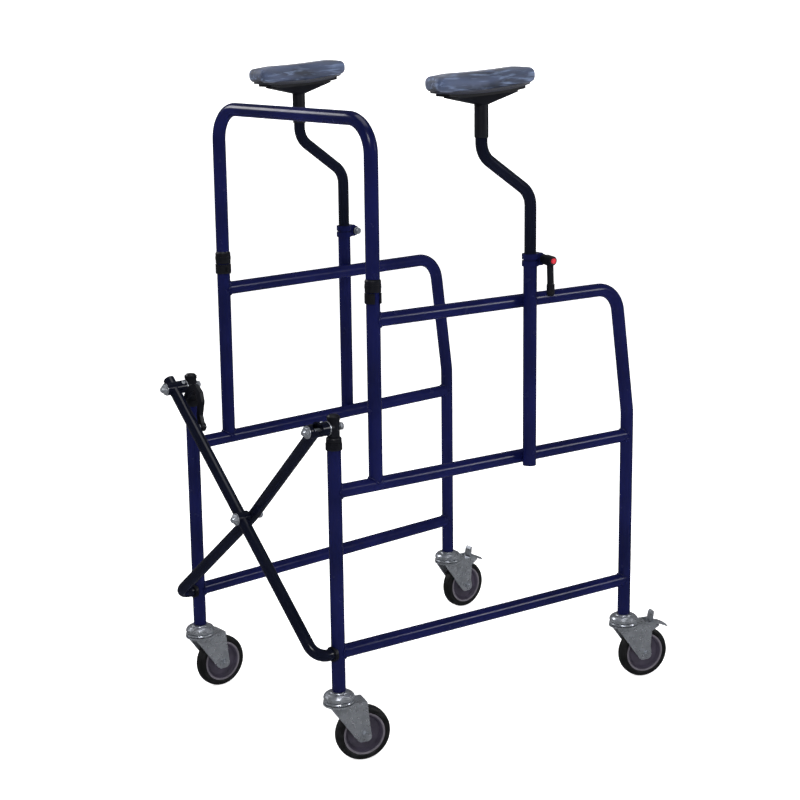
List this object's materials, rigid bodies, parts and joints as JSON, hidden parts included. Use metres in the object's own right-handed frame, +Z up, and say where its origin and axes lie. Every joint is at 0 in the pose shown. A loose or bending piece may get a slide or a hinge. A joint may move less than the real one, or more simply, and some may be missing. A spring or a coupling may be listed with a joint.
{
  "type": "underarm rollator walker",
  "caption": "Folding wheeled walker with tubular side frames, cross brace, front handle bar and two height-adjustable saddle pads under the arms.",
  "frame": {"origin": "on the floor under the centre of the walker's plan outline", "axes": "+Z up, +Y toward the open rear where the user walks in, +X toward the user's left-hand side frame"},
  "size_m": [0.654, 0.8558, 1.2454],
  "materials": {
    "navy_powder_coat": "gloss powder coat",
    "black_plastic": "fine moulded grain",
    "zinc_plate": "bright zinc plate",
    "plated_tube": "plated",
    "black_powder_coat": "gloss powder coat",
    "pad_cover": "coated upholstery cloth, slightly worn",
    "red_plastic": "polished",
    "hub_plastic": "moulded",
    "tyre_rubber": "smooth rubber"
  },
  "bodies": {
    "side_frame_b": {"front_leg_b": "navy_powder_coat", "rails_b": "navy_powder_coat", "rear_leg_b": "navy_powder_coat", "post_b": "navy_powder_coat", "receiver_b": "navy_powder_coat", "post_collar_b": "black_plastic", "bar_clip_b": "black_plastic", "leg_bushing_b": "black_plastic", "lower_pivot_b": "black_plastic", "caster_heads_b": "zinc_plate"},
    "side_frame_a": {"front_leg_a": "navy_powder_coat", "rails_a": "navy_powder_coat", "rear_leg_a": "navy_powder_coat", "post_a": "navy_powder_coat", "receiver_a": "navy_powder_coat", "post_collar_a": "black_plastic", "bar_clip_a": "black_plastic", "leg_bushing_a": "black_plastic", "lower_pivot_a": "black_plastic", "caster_heads_a": "zinc_plate"},
    "brace_rear": {"cross_tube_rear": "black_powder_coat"},
    "brace_front": {"cross_tube_front": "black_powder_coat", "centre_bolt": "zinc_plate", "hook_screw": "zinc_plate"},
    "plunger_a": {"plunger_a": "black_plastic", "top_bolt_a": "zinc_plate"},
    "plunger_b": {"plunger_b": "black_plastic", "top_bolt_b": "zinc_plate"},
    "spigots": {"bar_spigots": "plated_tube"},
    "handle_bar": {"handle_bar": "navy_powder_coat"},
    "lock_hook": {"lock_hook": "black_plastic"},
    "support_a": {"support_tube_a": "black_powder_coat"},
    "armpad_a": {"pad_base_a": "black_plastic", "pad_a": "pad_cover"},
    "lever_a": {"clamp_lever_a": "black_plastic"},
    "button_a": {"lever_button_a": "red_plastic"},
    "fork_fa": {"fork_fa": "zinc_plate", "axle_fa": "zinc_plate"},
    "wheel_fa": {"hub_fa": "hub_plastic", "tyre_fa": "tyre_rubber"},
    "fork_ra": {"fork_ra": "zinc_plate", "axle_ra": "zinc_plate"},
    "wheel_ra": {"hub_ra": "hub_plastic", "tyre_ra": "tyre_rubber"},
    "brake_ra": {"brake_pedal_ra": "zinc_plate"},
    "support_b": {"support_tube_b": "black_powder_coat"},
    "armpad_b": {"pad_base_b": "black_plastic", "pad_b": "pad_cover"},
    "lever_b": {"clamp_lever_b": "black_plastic"},
    "button_b": {"lever_button_b": "red_plastic"},
    "fork_fb": {"fork_fb": "zinc_plate", "axle_fb": "zinc_plate"},
    "wheel_fb": {"hub_fb": "hub_plastic", "tyre_fb": "tyre_rubber"},
    "fork_rb": {"fork_rb": "zinc_plate", "axle_rb": "zinc_plate"},
    "wheel_rb": {"hub_rb": "hub_plastic", "tyre_rb": "tyre_rubber"},
    "brake_rb": {"brake_pedal_rb": "zinc_plate"}
  },
  "joints": [
    {"name": "fold", "type": "hinge", "parent": "side_frame_b", "child": "brace_rear", "pos_m": [-0.2325, -0.38977, 0.212], "axis": [0, -1, 0], "range_deg": [0, 39.2]},
    {"name": "brace_cross", "type": "hinge", "parent": "brace_rear", "child": "brace_front", "pos_m": [0, -0.38977, 0.421], "axis": [0, -1, 0], "range_deg": [-78.4, 0]},
    {"name": "side_swing", "type": "hinge", "parent": "brace_front", "child": "side_frame_a", "pos_m": [0.2325, -0.38977, 0.212], "axis": [0, -1, 0], "range_deg": [0, 39.2]},
    {"name": "plunger_a_turn", "type": "hinge", "parent": "brace_rear", "child": "plunger_a", "pos_m": [0.2325, -0.38977, 0.63], "axis": [0, -1, 0], "range_deg": [-39.2, 0]},
    {"name": "plunger_b_turn", "type": "hinge", "parent": "brace_front", "child": "plunger_b", "pos_m": [-0.2325, -0.38977, 0.63], "axis": [0, -1, 0], "range_deg": [0, 39.2]},
    {"name": "bar_lift", "type": "slide", "parent": "side_frame_b", "child": "spigots", "axis": [0, 0, 1], "range_m": [0, 0.2468]},
    {"name": "bar_height", "type": "slide", "parent": "spigots", "child": "handle_bar", "axis": [0, 0, 1], "range_m": [0, 0.1]},
    {"name": "hook_turn", "type": "hinge", "parent": "brace_front", "child": "lock_hook", "pos_m": [-0.1605, -0.38327, 0.564], "axis": [0, 1, 0], "range_deg": [0, 15]},
    {"name": "support_height_a", "type": "slide", "parent": "side_frame_a", "child": "support_a", "axis": [0, 0, 1], "range_m": [-0.06, 0.1]},
    {"name": "pad_turn_a", "type": "hinge", "parent": "support_a", "child": "armpad_a", "pos_m": [0.27725, -0.05297, 1.152], "axis": [0, 0, 1], "range_deg": [-25, 25]},
    {"name": "lever_turn_a", "type": "hinge", "parent": "side_frame_a", "child": "lever_a", "pos_m": [0.28585, 0.08376, 0.889], "axis": [0.998, -0.0628, 0], "range_deg": [-80, 80]},
    {"name": "button_press_a", "type": "slide", "parent": "lever_a", "child": "button_a", "axis": [-0.998, 0.0628, 0], "range_m": [0, 0.0025], "stiffness_N_per_m": 800},
    {"name": "swivel_fa", "type": "hinge", "parent": "side_frame_a", "child": "fork_fa", "pos_m": [0.2325, -0.35977, 0.11], "axis": [0, 0, 1], "continuous": true},
    {"name": "wheel_spin_fa", "type": "hinge", "parent": "fork_fa", "child": "wheel_fa", "pos_m": [0.2461, -0.31792, 0.052], "axis": [0.9511, -0.309, 0], "continuous": true},
    {"name": "swivel_ra", "type": "hinge", "parent": "side_frame_a", "child": "fork_ra", "pos_m": [0.27589, 0.32987, 0.11], "axis": [0, 0, 1], "continuous": true},
    {"name": "wheel_spin_ra", "type": "hinge", "parent": "fork_ra", "child": "wheel_ra", "pos_m": [0.28949, 0.37172, 0.052], "axis": [0.9511, -0.309, 0], "continuous": true},
    {"name": "brake_press_a", "type": "hinge", "parent": "fork_ra", "child": "brake_ra", "pos_m": [0.29598, 0.39169, 0.1085], "axis": [0.9511, -0.309, 0], "range_deg": [0, 12]},
    {"name": "support_height_b", "type": "slide", "parent": "side_frame_b", "child": "support_b", "axis": [0, 0, 1], "range_m": [-0.06, 0.1]},
    {"name": "pad_turn_b", "type": "hinge", "parent": "support_b", "child": "armpad_b", "pos_m": [-0.27725, -0.05297, 1.152], "axis": [0, 0, 1], "range_deg": [-25, 25]},
    {"name": "lever_turn_b", "type": "hinge", "parent": "side_frame_b", "child": "lever_b", "pos_m": [-0.28585, 0.08376, 0.889], "axis": [-0.998, -0.0628, 0], "range_deg": [-80, 80]},
    {"name": "button_press_b", "type": "slide", "parent": "lever_b", "child": "button_b", "axis": [0.998, 0.0628, 0], "range_m": [0, 0.0025], "stiffness_N_per_m": 800},
    {"name": "swivel_fb", "type": "hinge", "parent": "side_frame_b", "child": "fork_fb", "pos_m": [-0.2325, -0.35977, 0.11], "axis": [0, 0, 1], "continuous": true},
    {"name": "wheel_spin_fb", "type": "hinge", "parent": "fork_fb", "child": "wheel_fb", "pos_m": [-0.2325, -0.31577, 0.052], "axis": [1, 0, 0], "continuous": true},
    {"name": "swivel_rb", "type": "hinge", "parent": "side_frame_b", "child": "fork_rb", "pos_m": [-0.27589, 0.32987, 0.11], "axis": [0, 0, 1], "continuous": true},
    {"name": "wheel_spin_rb", "type": "hinge", "parent": "fork_rb", "child": "wheel_rb", "pos_m": [-0.27589, 0.37387, 0.052], "axis": [1, 0, 0], "continuous": true},
    {"name": "brake_press_b", "type": "hinge", "parent": "fork_rb", "child": "brake_rb", "pos_m": [-0.27589, 0.39487, 0.1085], "axis": [1, 0, 0], "range_deg": [0, 12]}
  ],
  "couplings": [
    {"joint": "brace_cross", "follows": "fold", "ratio": -2},
    {"joint": "side_swing", "follows": "fold", "ratio": 1},
    {"joint": "plunger_a_turn", "follows": "fold", "ratio": -1},
    {"joint": "plunger_b_turn", "follows": "fold", "ratio": 1},
    {"joint": "bar_lift", "follows": "fold", "m_per_rad": 0.36}
  ]
}
